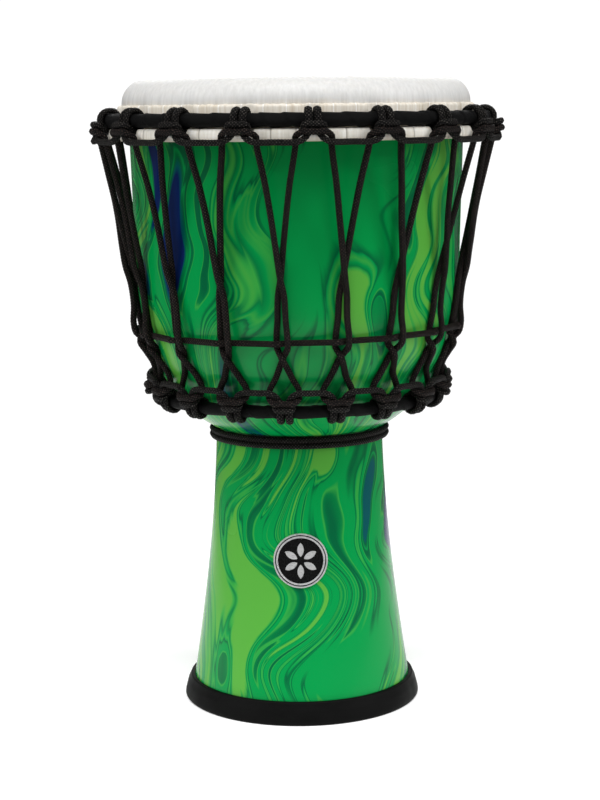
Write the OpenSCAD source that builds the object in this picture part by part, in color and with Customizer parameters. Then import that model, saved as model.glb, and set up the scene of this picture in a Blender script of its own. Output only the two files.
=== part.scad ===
// Small rope-tuned djembe: moulded goblet shell, synthetic head, two cloth-wrapped rings and their ropes.
// Millimetres. Origin: centre of the foot, on the floor. +Z up, the badge faces -Y.
// Angles round the drum are counted from the front (-Y) towards +X.

/* [Shell] */
// Height of the playing surface above the floor
drum_h = 317.5; // [317:0.5:318]
// Outer radius of the bowl just under the head
bowl_r = 83.7; // [83:0.1:84]
// Outer radius of the shell at the neck
neck_r = 42.6; // [42:0.1:43]
// Height of the neck, where bowl and stem meet
neck_z = 142.2; // [141.8:0.2:142.6]
// Outer radius of the shell at its foot
foot_r = 57.2; // [56.8:0.2:57.4]
// Thickness of the shell wall
wall = 4; // [3:0.5:5]

/* [Head and rings] */
// Outer radius of the straight collar of the head
collar_r = 87.4; // [87.2:0.1:87.5]
// Thickness of the head film
film_t = 0.6; // [0.4:0.1:0.6]
// Radius of the circle through the middle of the crown ring's bar
crown_r = 94.4; // [94.2:0.1:94.6]
// Height of the crown ring
crown_z = 297.65; // [297.5:0.05:297.8]
// Radius of the crown ring's bar with its cloth
crown_bar_r = 3.6; // [3.4:0.1:3.6]
// Radius of the circle through the middle of the lower ring's bar
lower_r = 69.3; // [69.3:0.1:69.6]
// Height of the lower ring
lower_z = 159.1; // [158.8:0.1:159.1]
// Radius of the lower ring's bar with its cloth
lower_bar_r = 3.4; // [3.2:0.1:3.4]
// Thickness of the cloth on both rings
cloth_t = 0.6; // [0.4:0.1:0.8]

/* [Ropes] */
// Number of hitches on each ring, and of pairs of tension strands
loops = 18; // [18:1:18]
// Angle of the first crown hitch from the front
first_hitch = 4.6; // [0:0.2:10]
// Rope diameter
rope_d = 2.8; // [2.4:0.1:2.8]
// Flats round a rope
rope_sides = 6; // [6:1:8]
// Height of the rope row that is woven through the tension strands
weave_z = 194.5; // [193:0.5:196]

/* [Foot and badge] */
// Height of the rubber foot ring
foot_ring_h = 11.4; // [11:0.2:13]
// Radius of the rubber foot ring at its widest
foot_ring_r = 61; // [60.4:0.2:61.2]
// Radius of the badge
badge_r = 13.5; // [11:0.5:14]
// Height of the badge's centre
badge_z = 81; // [70:1:90]

/* [Hidden] */

$fn = 96;
pitch = 360 / loops;
rope_r = rope_d / 2;
touch = 0.1;        // gap between neighbours that do not move
run_gap = 0.3;      // gap between the head and the shell it slides on
deg = 180 / PI;

// ---------- curves of revolution ----------

bowl_top_z = 238;
head_flat_r = 75.5;                       // where the head starts to round over
collar_top_z = 305.5;                     // where the collar becomes straight
collar_low_z = 288;
rim_in_r = 77.2;                          // inner edge of the bearing edge
shell_low_z = 3;                          // the shell stands on this much rubber
stem_flare = 1.6;                         // power of the stem's flare

function lerp(a, b, t) = a + (b - a) * t;
function bezier(p, t) = pow(1 - t, 3) * p[0] + 3 * pow(1 - t, 2) * t * p[1]
                      + 3 * (1 - t) * t * t * p[2] + pow(t, 3) * p[3];
// quarter ellipse from the flat top down to the collar
function round_over(r_side, z_top, n) =
    [for (i = [0:n]) [head_flat_r + (r_side - head_flat_r) * sin(90 * i / n),
                      collar_top_z + (z_top - collar_top_z) * cos(90 * i / n)]];
// outer radius of the stem at height z
function stem_r(z) =
    neck_r + (foot_r - neck_r) * pow((neck_z - z) / (neck_z - shell_low_z), stem_flare);

bowl_curve = [[bowl_r - 1.4, bowl_top_z], [82, 190], [72, 158], [neck_r, neck_z]];
bowl_in_curve = [[bowl_r - 1.4 - wall, bowl_top_z + 1], [82 - wall, 192],
                 [72 - wall, 162], [neck_r - wall, neck_z + 2]];

module shell() {
    color("limegreen") rotate_extrude() polygon(concat(
        [[rim_in_r, drum_h - film_t - run_gap - 0.8],
         [head_flat_r + 3.6, drum_h - film_t - run_gap - 0.6]],
        [for (p = round_over(collar_r - film_t - run_gap, drum_h - film_t - run_gap, 8))
            if (p[0] > head_flat_r + 4.5) p],
        [[bowl_r + 0.5, 294], [bowl_r, 286]],
        [for (i = [0:20]) bezier(bowl_curve, i / 20)],
        [for (i = [1:16]) let (z = lerp(neck_z, shell_low_z, i / 16)) [stem_r(z), z]],
        [for (i = [16:-1:1]) let (z = lerp(neck_z, shell_low_z, i / 16)) [stem_r(z) - wall, z]],
        [for (i = [20:-1:0]) bezier(bowl_in_curve, i / 20)],
        [[bowl_r - wall, 290], [rim_in_r + 1.5, 303]]));
}

module foot_ring() {
    lip = foot_ring_h;
    color([0.06, 0.06, 0.06]) rotate_extrude() polygon(concat(
        [[50.6, 1], [51.6, 0], [59.6, 0]],
        [for (i = [0:4]) [foot_ring_r - 1.2 + 1.2 * sin(90 * i / 4), 1.4 - 1.4 * cos(90 * i / 4)]],
        [[foot_ring_r - 0.5, 4], [foot_ring_r - 1.6, 8]],
        [for (i = [0:4]) [stem_r(lip) + 1.5 + 0.8 * cos(90 * i / 4), lip - 0.8 + 0.8 * sin(90 * i / 4)]],
        [for (i = [0:3]) let (z = lerp(lip, shell_low_z, i / 3)) [stem_r(z) + touch, z - touch]],
        [for (i = [0:2]) let (z = lerp(shell_low_z, 10, i / 2)) [stem_r(z) - wall - touch, z - touch]],
        [[51, 9]]));
}

// ---------- head ----------

hitch_w = 12.4;       // width kept clear in the head's edge for each hitch

function hitch_angle(k) = first_hitch + pitch * k;
// places its children at an angle round the drum, with their own -Y pointing outwards
module round_drum(a) {
    rotate([0, 0, a]) children();
}

module head_film() {
    color("white") rotate_extrude() polygon(concat(
        [[0, drum_h]],
        round_over(collar_r, drum_h, 10),
        [[collar_r, collar_low_z], [collar_r - film_t, collar_low_z]],
        reversed(round_over(collar_r - film_t, drum_h - film_t, 10)),
        [[0, drum_h - film_t]]));
}

tab_left = 0.5;       // thickness left of the tab band behind a hitch's turns
module head_tab_band() {
    color("wheat") difference() {
        rotate_extrude() polygon([[collar_r + touch, 294.2], [collar_r + 1.8, 294.2],
            [collar_r + 2.2, 303.6], [collar_r + 1.4, 305], [collar_r + touch, 305.2]]);
        for (k = [0:loops - 1]) round_drum(hitch_angle(k))
            translate([-4, -collar_r - 5, 290]) cube([8, 5 - tab_left, 20]);
    }
}

skirt_low_z = 287.8;
skirt_top_z = crown_z - crown_bar_r - run_gap;
notch_z = 290.7;
module head_skirt() {
    color("ivory") difference() {
        rotate_extrude() polygon([[collar_r + touch, skirt_low_z + 0.6], [collar_r + 0.8, skirt_low_z],
            [95, skirt_low_z], [96.2, skirt_low_z + 0.8], [96.5, 290.5], [96, 293.2],
            [95, skirt_top_z], [collar_r + touch, skirt_top_z]]);
        for (k = [0:loops - 1]) round_drum(hitch_angle(k))
            translate([-hitch_w / 2, -100, notch_z]) cube([hitch_w, 15, 10]);
        rotate_extrude() translate([90, 288.3]) square([4, 2]);
    }
}

module flesh_hoop() {
    color("silver") rotate_extrude() translate([90 + touch, 288.3 + touch])
        square([4 - 2 * touch, 2 - 2 * touch]);
}

// ---------- rings ----------

module bar_ring(r, z, bar_r) {
    rotate_extrude() translate([r, z]) circle(bar_r);
}
module cloth_ring(r, z, bar_r) {
    difference() {
        bar_ring(r, z, bar_r);
        bar_ring(r, z, bar_r - cloth_t);
    }
}
module crown_ring_core() {
    color("gray") bar_ring(crown_r, crown_z, crown_bar_r - cloth_t - touch / 2);
}
module crown_ring_wrap() {
    color([0.1, 0.1, 0.11]) cloth_ring(crown_r, crown_z, crown_bar_r);
}
module lower_ring_core() {
    color("gray") bar_ring(lower_r, lower_z, lower_bar_r - cloth_t - touch / 2);
}
module lower_ring_wrap() {
    color([0.1, 0.1, 0.11]) cloth_ring(lower_r, lower_z, lower_bar_r);
}

// ---------- ropes ----------
// A route is a closed list of stations [angle, radius, height, tilt, flat]: the place, the tilt of the
// rope's outer side above the horizontal, and how flat the rope is pressed (1 is round).

function place(q) = [q[1] * sin(q[0]), -q[1] * cos(q[0]), q[2]];
function outward(q) = [cos(q[3]) * sin(q[0]), -cos(q[3]) * cos(q[0]), sin(q[3])];
function unit(v) = v / norm(v);
function rope_ring(q, along) =
    let (side = unit(cross(along, outward(q))), out = cross(side, along))
    [for (i = [0:rope_sides - 1]) let (a = 360 * i / rope_sides)
        place(q) + rope_r * (q[4] * cos(a) * out + sqrt(1 / q[4]) * sin(a) * side)];
module closed_rope(route) {
    n = len(route);
    m = rope_sides;
    points = [for (i = [0:n - 1])
        let (along = unit(place(route[(i + 1) % n]) - place(route[(i + n - 1) % n])))
        for (p = rope_ring(route[i], along)) p];
    faces = [for (i = [0:n - 1]) for (j = [0:m - 1])
        let (a = i * m + j, b = i * m + (j + 1) % m,
             c = ((i + 1) % n) * m + j, d = ((i + 1) % n) * m + (j + 1) % m)
        for (f = [[a, c, b], [b, c, d]]) f];
    polyhedron(points, faces);
}

// A station beside a hitch: s along the ring in mm, out and up from the middle of the ring's bar
function by_ring(ring, k, s, out, up, tilt = 0) =
    [ring[0] + pitch * k + s / (ring[1] + out) * deg, ring[1] + out, ring[2] + ring[4] * up, tilt, 1];
// A station on the turn round the bar, at angle f from straight out towards the far side of the cradle
function on_bar(ring, k, s, f) =
    let (press = f > 130 && f < 265 ? ring[5] : 1,
         reach = ring[3] + touch + rope_r * press + (press < 1 ? 0.15 : 0.4))
    [ring[0] + pitch * k + s / ring[1] * deg, ring[1] + reach * cos(f),
     ring[2] - ring[4] * reach * sin(f), -ring[4] * f, press];

// ring: first hitch angle, radius, height, bar radius, side of the cradles (1 up), press behind the bar
crown = [first_hitch, crown_r, crown_z, crown_bar_r, -1, 0.8];
lower = [first_hitch - pitch / 2, lower_r, lower_z, lower_bar_r, 1, 0.6];
turn = [-15, 30, 75, 120, 150, 180, 210, 240];
bar_half = 4;             // half of the hitch's front bar
turn_s = 2;               // each turn's distance from the hitch's centre

// half of a hitch, from the cradle's corner to the end of the front bar; e is -1 left, 1 right
function half_hitch(ring, k, e, w) = concat(
    [by_ring(ring, k, e * 9 * w, 7.1, 10.05),
     by_ring(ring, k, e * 6.3 * w, 7.2, 9.45),
     by_ring(ring, k, e * 3.8 * w, 6.6, 7.75),
     by_ring(ring, k, e * 2.2, 5.4, 5.05)],
    [for (f = turn) on_bar(ring, k, e * turn_s, f)],
    [by_ring(ring, k, e * 3.3, 1.1, 5.1, 90 * ring[4]),
     by_ring(ring, k, e * 5, 4.2, 4.2, 40 * ring[4]),
     by_ring(ring, k, e * 5.5, 6.4, 2.3),
     by_ring(ring, k, e * bar_half, 7.9, 1.95)]);
function reversed(list) = [for (i = [len(list) - 1:-1:0]) list[i]];
function loop_route(ring, w) = [for (k = [0:loops - 1])
    for (q = concat([[ring[0] + pitch * (k - 0.5), ring[1] + 7.1, ring[2] + ring[4] * 10.05, 0, 1]],
                    half_hitch(ring, k, -1, w), reversed(half_hitch(ring, k, 1, w)))) q];

crown_spread = 1;
lower_spread = 0.87;
module crown_loop_rope() {
    color([0.07, 0.07, 0.07]) closed_rope(loop_route(crown, crown_spread));
}
module lower_loop_rope() {
    color([0.07, 0.07, 0.07]) closed_rope(loop_route(lower, lower_spread));
}

// the cradle of the tension rope over a hitch, from the corner to the middle
function cradle(ring, k, e, w) =
    [by_ring(ring, k, e * 8.2 * w, 3.9, 10.85),
     by_ring(ring, k, e * 8.3 * w, 4.7, 7.75),
     by_ring(ring, k, e * 6.7 * w, 7, 6.05),
     by_ring(ring, k, e * 4.7 * w, 8.2, 5.05),
     by_ring(ring, k, e * 2, 8.5, 5.25)];

// tension strands: height, half spread of the pair in degrees, lift of the first and second strand
strand = [[268, 3.4, 0, 0], [250, 1.95, 0.8, 0], [235, 0.8, 2.4, 0], [225, 0, 3.2, 0],
          [216, -1.06, 1.8, 0], [205, -1.4, 1.8, 0], [196.5, -1.9, 3.6, 0], [191.5, -1.9, 3.6, 0],
          [188.8, -1, 1.8, 1.8], [186, 0, 0, 3], [181.5, 1.4, 0, 1.5], [176, 3.1, 0, 0.2]];
lie = rope_r + touch + 0.1;               // from the shell's surface to the middle of a rope on it
tangent_z = 222;                          // the strands meet the shell here
strand_top = [crown_r + 3.9, crown_z - 10.85];
// outer radius of the bowl at height z, from the curve's parameter found by halving
function bowl_t(z, a = 0, b = 1, n = 14) = n == 0 ? (a + b) / 2 :
    let (m = (a + b) / 2) bezier(bowl_curve, m)[1] > z ? bowl_t(z, m, b, n - 1) : bowl_t(z, a, m, n - 1);
function bowl_at(z) = bezier(bowl_curve, bowl_t(z))[0];
function strand_r(z) = z > tangent_z
    ? lerp(bowl_at(tangent_z) + lie, strand_top[0], (z - tangent_z) / (strand_top[1] - tangent_z))
    : bowl_at(z) + lie;
function strand_route(k, e) = [for (p = strand)
    [crown[0] + pitch * (k + 0.5) + e * p[1], strand_r(p[0]) + (e < 0 ? p[2] : p[3]), p[0], 0, 1]];

// over a crown hitch, down beside the strand from the next one, over the lower hitch and up again
function tension_route() = [for (k = [0:loops - 1]) for (q = concat(
    cradle(crown, k, -1, crown_spread),
    reversed(cradle(crown, k, 1, crown_spread)),
    strand_route(k, -1),
    cradle(lower, k + 1, -1, lower_spread),
    reversed(cradle(lower, k + 1, 1, lower_spread)),
    reversed(strand_route(k, 1)))) q];
module tension_rope() {
    color([0.08, 0.07, 0.07]) closed_rope(tension_route());
}

// over one strand of each pair and under the other, on a row that leans a little to the left
function weave_route() = [for (k = [0:loops - 1])
    for (p = [[-10, 0.6], [-4.2, 2.2], [-1.9, 3.6], [1.9, 0], [4.2, 0]])
        let (a = crown[0] + pitch * (k + 0.5) + p[0])
        [a, strand_r(weave_z) + p[1], weave_z - 0.8 + 1.2 * sin(a), 0, 1]];
module weave_rope() {
    color([0.08, 0.07, 0.07]) closed_rope(weave_route());
}

neck_turns = [138.1, 141.1];
neck_turn_r = neck_r + rope_r + 0.5;
module neck_rope() {
    color([0.07, 0.07, 0.07]) for (z = neck_turns) bar_ring(neck_turn_r, z, rope_r);
}

// three turns of rope side by side round an axis that runs along the drum's surface, and two ends
module barrel_knot(a, r, z, core_r) {
    color([0.07, 0.07, 0.07]) round_drum(a) translate([0, -r, z]) {
        for (i = [-1:1]) translate([i * (rope_d + touch), 0, 0]) rotate([0, 90, 0])
            rotate_extrude() translate([core_r + rope_r, 0]) circle(rope_r);
        for (i = [-1, 1]) translate([i * 2.9 * rope_d / 2, -1, -core_r - rope_d - touch])
            rotate([180, 0, 0]) cylinder(h = 9, r = rope_r);
    }
}
module crown_loop_knot() {
    barrel_knot(hitch_angle(9) + pitch / 2, crown_r + 7.1, crown_z - 10.05, rope_r + 0.2);
}
module lower_loop_knot() {
    barrel_knot(hitch_angle(9), lower_r + 11.7, lower_z + 10.05, 0.2);
}
module weave_knot() {
    barrel_knot(hitch_angle(9), strand_r(weave_z) + 5.9, weave_z - 1, 0.2);
}
module neck_knot() {
    barrel_knot(hitch_angle(8) + pitch / 2, neck_turn_r + 4.2, 139.6, 0.2);
}

// ---------- badge ----------

// a layer that follows the stem's surface, cut to a round outline of radius r
badge_arc = 44;           // degrees of the stem that the layers are cut from
badge_reach = 16;         // half of their height
module badge_layer(low, high, r) {
    zs = [badge_z - badge_reach, badge_z, badge_z + badge_reach];
    intersection() {
        rotate([0, 0, -90 - badge_arc / 2]) rotate_extrude(angle = badge_arc) polygon(concat(
            [for (z = zs) [stem_r(z) + low, z]],
            reversed([for (z = zs) [stem_r(z) + high, z]])));
        translate([0, 0, badge_z]) rotate([90, 0, 0]) cylinder(h = 70, r = r);
    }
}
module badge_cut(r) {
    translate([0, -30, badge_z]) rotate([90, 0, 0]) cylinder(h = 50, r = r);
}
rim_w = 0.7;
module badge_plate() {
    color("silver") badge_layer(0.05, 0.5, badge_r);
}
module badge_rim() {
    color("silver") difference() {
        badge_layer(0.55, 1.1, badge_r);
        badge_cut(badge_r - rim_w);
    }
}
module badge_face() {
    color([0.05, 0.05, 0.05]) badge_layer(0.55, 0.75, badge_r - rim_w - touch);
}
module badge_emblem() {
    petals = 6;
    color("silver") {
        difference() {
            badge_layer(0.8, 1, badge_r - 1.3);
            badge_cut(badge_r - 2.2);
        }
        for (i = [0:petals - 1]) intersection() {
            badge_layer(0.8, 1, badge_r - 4);
            translate([0, -30, badge_z]) rotate([90, 0, 0]) rotate(360 / petals * i)
                translate([0, 5.4, 0]) linear_extrude(50) intersection() {
                    translate([3, 0]) circle(4.6);
                    translate([-3, 0]) circle(4.6);
                }
        }
    }
}

shell();
foot_ring();
head_film();
head_tab_band();
head_skirt();
flesh_hoop();
crown_ring_core();
crown_ring_wrap();
crown_loop_rope();
crown_loop_knot();
lower_ring_core();
lower_ring_wrap();
lower_loop_rope();
lower_loop_knot();
tension_rope();
weave_rope();
weave_knot();
neck_rope();
neck_knot();
badge_plate();
badge_rim();
badge_face();
badge_emblem();
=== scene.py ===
import math

import bpy
import numpy as np
from mathutils import Matrix, Vector


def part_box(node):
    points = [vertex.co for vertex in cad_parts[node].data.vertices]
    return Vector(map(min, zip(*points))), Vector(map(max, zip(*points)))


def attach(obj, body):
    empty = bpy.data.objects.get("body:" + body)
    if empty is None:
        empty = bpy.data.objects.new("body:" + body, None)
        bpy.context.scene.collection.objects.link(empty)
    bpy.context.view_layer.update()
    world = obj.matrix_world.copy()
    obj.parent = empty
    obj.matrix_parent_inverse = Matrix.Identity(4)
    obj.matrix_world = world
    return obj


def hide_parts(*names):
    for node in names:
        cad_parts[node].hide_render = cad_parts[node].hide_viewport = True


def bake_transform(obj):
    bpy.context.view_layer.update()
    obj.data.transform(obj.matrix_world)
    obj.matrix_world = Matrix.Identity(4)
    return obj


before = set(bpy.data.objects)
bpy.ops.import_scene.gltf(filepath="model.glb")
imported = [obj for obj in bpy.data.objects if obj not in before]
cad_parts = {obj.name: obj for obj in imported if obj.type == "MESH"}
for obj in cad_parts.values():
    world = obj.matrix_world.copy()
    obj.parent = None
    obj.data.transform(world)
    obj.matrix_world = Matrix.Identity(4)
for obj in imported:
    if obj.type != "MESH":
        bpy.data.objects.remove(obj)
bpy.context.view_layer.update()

# Lengths in this script are millimetres, as in the CAD source, and MM turns them into metres.
MM = 0.001


# ---------------------------------------------------------------- places, read from the frame

def ring_of(node):
    """Radius of a ring's middle circle, its height, and the radius of its bar."""
    low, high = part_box(node)
    bar = (high.z - low.z) / 2
    return (high.x - bar) / MM, (high.z + low.z) / 2 / MM, bar / MM


LOOPS = 18                      # hitches on each ring
PITCH = 360 / LOOPS
FIRST_HITCH = 4.6               # angle of the first crown hitch from the front, towards +X
CROWN_R, CROWN_Z, CROWN_BAR = ring_of("crown_ring_wrap")
LOWER_R, LOWER_Z, LOWER_BAR = ring_of("lower_ring_wrap")
DRUM_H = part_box("head_film")[1].z / MM
COLLAR_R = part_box("head_film")[1].x / MM
COLLAR_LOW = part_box("head_film")[0].z / MM
SKIRT_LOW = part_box("head_skirt")[0].z / MM
SKIRT_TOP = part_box("head_skirt")[1].z / MM
FOOT_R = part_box("foot_ring")[1].x / MM
FOOT_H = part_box("foot_ring")[1].z / MM
WEAVE_Z = (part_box("weave_rope")[0].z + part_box("weave_rope")[1].z) / 2 / MM
WEAVE_LEVEL = 194.5             # where the strands are lifted for the woven row
NECK_ROPE_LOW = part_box("neck_rope")[0].z / MM
NECK_ROPE_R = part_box("neck_rope")[1].x / MM
ROPE_R = 1.4
SEAMS = 52                      # pleats of the skin round the flesh hoop
TOUCH = 0.1                     # gap between pieces that lie against each other
WALL = 4                        # thickness of the shell
NECK_R, NECK_Z = 42.6, 142.2    # the shell at its waist
STEM_FOOT_R, SHELL_LOW = 57.2, 3
STEM_POWER = 1.6                # how late the stem flares
BOWL_R = 83.7
HEAD_FLAT_R, COLLAR_TOP = 75.5, 305.5   # where the collar's curve starts and ends
SKIN_FILM = 0.6                 # thickness of the head's skin
BOWL_CURVE = np.array([[BOWL_R - 1.4, 238], [82, 190], [72, 158], [NECK_R, NECK_Z]])


def lerp(a, b, t):
    return a + (b - a) * t


def bezier(p, t):
    return ((1 - t) ** 3 * p[0] + 3 * (1 - t) ** 2 * t * p[1]
            + 3 * (1 - t) * t * t * p[2] + t ** 3 * p[3])


def stem_r(z):
    return NECK_R + (STEM_FOOT_R - NECK_R) * ((NECK_Z - z) / (NECK_Z - SHELL_LOW)) ** STEM_POWER


BOWL_POINTS = np.array([bezier(BOWL_CURVE, t) for t in np.linspace(0, 1, 400)])


def bowl_r(z):
    return float(np.interp(-z, -BOWL_POINTS[:, 1], BOWL_POINTS[:, 0]))


# ---------------------------------------------------------------- camera

LENS, SENSOR = 85, 36
CAMERA_X, CAMERA_DISTANCE, CAMERA_Z = 0.5, 960.9, 302.2
CAMERA_PITCH = math.radians(8.746)
CAMERA_ROLL = 0.0103            # radians
FAR_CLIP = 50                   # metres


def make_camera():
    data = bpy.data.cameras.new("camera")
    data.lens = LENS
    data.sensor_width = SENSOR
    data.clip_end = FAR_CLIP
    camera = bpy.data.objects.new("camera", data)
    camera.location = (CAMERA_X * MM, -CAMERA_DISTANCE * MM, CAMERA_Z * MM)
    tilt = Matrix.Rotation(math.pi / 2 - CAMERA_PITCH, 3, "X")
    roll = Matrix.Rotation(-CAMERA_ROLL, 3, "Z")
    camera.rotation_euler = (tilt @ roll).to_euler()
    bpy.context.scene.collection.objects.link(camera)
    bpy.context.scene.camera = camera


make_camera()


# ---------------------------------------------------------------- mesh helpers

def new_object(name, verts, faces, smooth=True):
    mesh = bpy.data.meshes.new(name)
    mesh.from_pydata([tuple(v) for v in np.asarray(verts) * MM], [], faces)
    mesh.polygons.foreach_set("use_smooth", [smooth] * len(mesh.polygons))
    mesh.update()
    obj = bpy.data.objects.new(name, mesh)
    bpy.context.scene.collection.objects.link(obj)
    return obj


def grid_faces(rows, columns, closed=True):
    """Faces of a grid closed round its columns, row after row; its rows may stay open."""
    return [(i * columns + j, i * columns + (j + 1) % columns,
             ((i + 1) % rows) * columns + (j + 1) % columns, ((i + 1) % rows) * columns + j)
            for i in range(rows if closed else rows - 1) for j in range(columns)]


def lathe(name, profile, steps=288, shape=None):
    """A closed body of revolution from a closed profile of (radius, height).

    The profile runs so that the faces look outwards, and shape(angle, radii, heights) may change it
    at each angle.
    """
    profile = np.array(profile, float)
    verts = []
    for i in range(steps):
        angle = 2 * math.pi * i / steps
        r, z = profile[:, 0], profile[:, 1]
        if shape:
            r, z = shape(angle, r.copy(), z.copy())
        verts.append(np.stack([r * math.sin(angle), -r * math.cos(angle), z], 1))
    return new_object(name, np.concatenate(verts), grid_faces(steps, len(profile)))


def disc_lathe(name, profile, steps=288, shape=None):
    """The same for an open profile that starts and ends on the axis."""
    profile = np.array(profile, float)
    inner = profile[1:-1]
    n = len(inner)
    verts = [np.array([[0, 0, profile[0][1]], [0, 0, profile[-1][1]]])]
    for i in range(steps):
        angle = 2 * math.pi * i / steps
        r, z = inner[:, 0], inner[:, 1]
        if shape:
            r, z = shape(angle, r.copy(), z.copy())
        verts.append(np.stack([r * math.sin(angle), -r * math.cos(angle), z], 1))
    faces = []
    for i in range(steps):
        a, b = 2 + i * n, 2 + (i + 1) % steps * n
        faces += [(a + j, a + j + 1, b + j + 1, b + j) for j in range(n - 1)]
        faces += [(0, a, b), (1, b + n - 1, a + n - 1)]
    return new_object(name, np.concatenate(verts), [tuple(reversed(f)) for f in faces])


def finish_piece(obj, body, nodes, material):
    obj.data.materials.clear()
    obj.data.materials.append(material)
    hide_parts(*nodes)
    if body:
        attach(obj, body)
    return obj


# ---------------------------------------------------------------- material helpers

class Net:
    """A material's node tree, with short calls for the nodes used here."""

    def __init__(self, name, **surface):
        self.material = bpy.data.materials.new(name)
        self.material.use_nodes = True
        self.tree = self.material.node_tree
        self.shader = self.tree.nodes["Principled BSDF"]
        for socket, value in surface.items():
            self.shader.inputs[socket.replace("_", " ")].default_value = value

    def node(self, kind, **settings):
        made = self.tree.nodes.new(kind)
        for key, value in settings.items():
            setattr(made, key, value)
        return made

    def feed(self, socket, value):
        if isinstance(value, bpy.types.NodeSocket):
            self.tree.links.new(value, socket)
        else:
            socket.default_value = value

    def place(self):
        return self.node("ShaderNodeTexCoord").outputs["Object"]

    def place_mm(self):
        """Where a point of the surface is, in mm."""
        return self.vector("MULTIPLY", self.place(), (1 / MM, 1 / MM, 1 / MM))

    def math(self, operation, a, b=0.0, c=0.0):
        made = self.node("ShaderNodeMath", operation=operation)
        for socket, value in zip(made.inputs, (a, b, c)):
            self.feed(socket, value)
        return made.outputs[0]

    def vector(self, operation, a, b=(0, 0, 0)):
        made = self.node("ShaderNodeVectorMath", operation=operation)
        self.feed(made.inputs[0], a)
        self.feed(made.inputs[1], b)
        return made.outputs[0]

    def split(self, vector):
        made = self.node("ShaderNodeSeparateXYZ")
        self.feed(made.inputs[0], vector)
        return made.outputs

    def join(self, x, y, z):
        made = self.node("ShaderNodeCombineXYZ")
        for socket, value in zip(made.inputs, (x, y, z)):
            self.feed(socket, value)
        return made.outputs[0]

    def noise(self, vector, scale=1.0, detail=2.0, rough=0.5):
        made = self.node("ShaderNodeTexNoise")
        self.feed(made.inputs["Vector"], vector)
        made.inputs["Scale"].default_value = scale
        made.inputs["Detail"].default_value = detail
        made.inputs["Roughness"].default_value = rough
        return made.outputs["Fac"]

    def ramp(self, value, stops):
        made = self.node("ShaderNodeValToRGB")
        elements = made.color_ramp.elements
        while len(elements) > 1:
            elements.remove(elements[-1])
        for i, (at, colour) in enumerate(stops):
            element = elements[0] if i == 0 else elements.new(at)
            element.position = at
            element.color = (*colour, 1)
        self.feed(made.inputs[0], value)
        return made.outputs[0]

    def mix(self, share, a, b):
        made = self.node("ShaderNodeMix", data_type="RGBA")
        self.feed(made.inputs[0], share)
        self.feed(made.inputs[6], a if isinstance(a, bpy.types.NodeSocket) else (*a, 1))
        self.feed(made.inputs[7], b if isinstance(b, bpy.types.NodeSocket) else (*b, 1))
        return made.outputs[2]

    def stretch(self, value, low, high, to_low=0.0, to_high=1.0):
        made = self.node("ShaderNodeMapRange")
        for socket, number in zip(made.inputs, (value, low, high, to_low, to_high)):
            self.feed(socket, number)
        return made.outputs[0]

    def colour(self, value):
        self.feed(self.shader.inputs["Base Color"], value)

    def rough(self, value):
        self.feed(self.shader.inputs["Roughness"], value)

    def bump(self, height, distance, strength=1.0):
        made = self.node("ShaderNodeBump")
        made.inputs["Strength"].default_value = strength
        made.inputs["Distance"].default_value = distance
        self.feed(made.inputs["Height"], height)
        self.tree.links.new(made.outputs[0], self.shader.inputs["Normal"])


# colours of the marbled shell, linear
LIME = (0.085, 0.355, 0.045)
LEAF = (0.028, 0.320, 0.050)
GREEN = (0.0, 0.265, 0.055)
MID = (0.0, 0.170, 0.042)
DEEP = (0.0, 0.105, 0.036)
TEAL = (0.0, 0.075, 0.085)
NAVY = (0.003, 0.014, 0.080)

# Poured patches: angle, height, half width and half height in mm, the tone each has, and how pure it is.
# Tones from about -0.1 down are navy, 0.4 is plain green and 0.8 is the yellow green.
PATCHES = [(-60, 272, 3.2, 22, -0.3, 1), (-47, 244, 4.6, 24, -0.4, 1), (-60, 222, 3, 8, -0.1, 1),
           (-14, 237, 8, 30, 0.80, 0.85), (13, 248, 24, 44, 0.42, 0.96),
           (23, 212, 11, 14, 0.82, 0.95), (31, 205, 4, 12, 0.0, 0.9), (40, 262, 3, 28, 0.0, 0.7),
           (52, 245, 4, 40, 0.8, 0.7), (-30, 200, 12, 8, 0.5, 0.5),
           (-59, 105, 5, 42, 0.82, 0.9), (-48, 113, 4, 26, 0.12, 0.9), (-36, 55, 11, 42, 0.82, 0.96),
           (-20, 70, 4, 52, 0.14, 0.8), (17, 131, 7, 9, 0.82, 0.9), (57, 104, 4, 20, -0.12, 0.9),
           (30, 26, 13, 13, 0.36, 0.8), (-53, 24, 5, 8, 0.14, 0.8), (8, 50, 5, 40, 0.62, 0.4),
           (95, 240, 14, 40, 0.45, 0.8), (110, 262, 6, 26, -0.3, 0.9), (140, 215, 12, 20, 0.82, 0.9),
           (170, 245, 9, 34, -0.4, 1), (-160, 225, 14, 30, 0.8, 0.9), (-130, 250, 20, 40, 0.42, 0.9),
           (-95, 230, 6, 34, -0.3, 0.9), (-100, 85, 9, 44, 0.8, 0.9), (-145, 100, 5, 26, -0.2, 0.9),
           (120, 70, 10, 40, 0.82, 0.9), (90, 110, 5, 24, -0.2, 0.8), (175, 50, 12, 26, 0.42, 0.9)]


BOWL_PATTERN_R, STEM_PATTERN_R = 82, 49
STEM_PATTERN_TOP = 139          # behind the neck rope
STEM_PATTERN_SHIFT = 400


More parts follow.
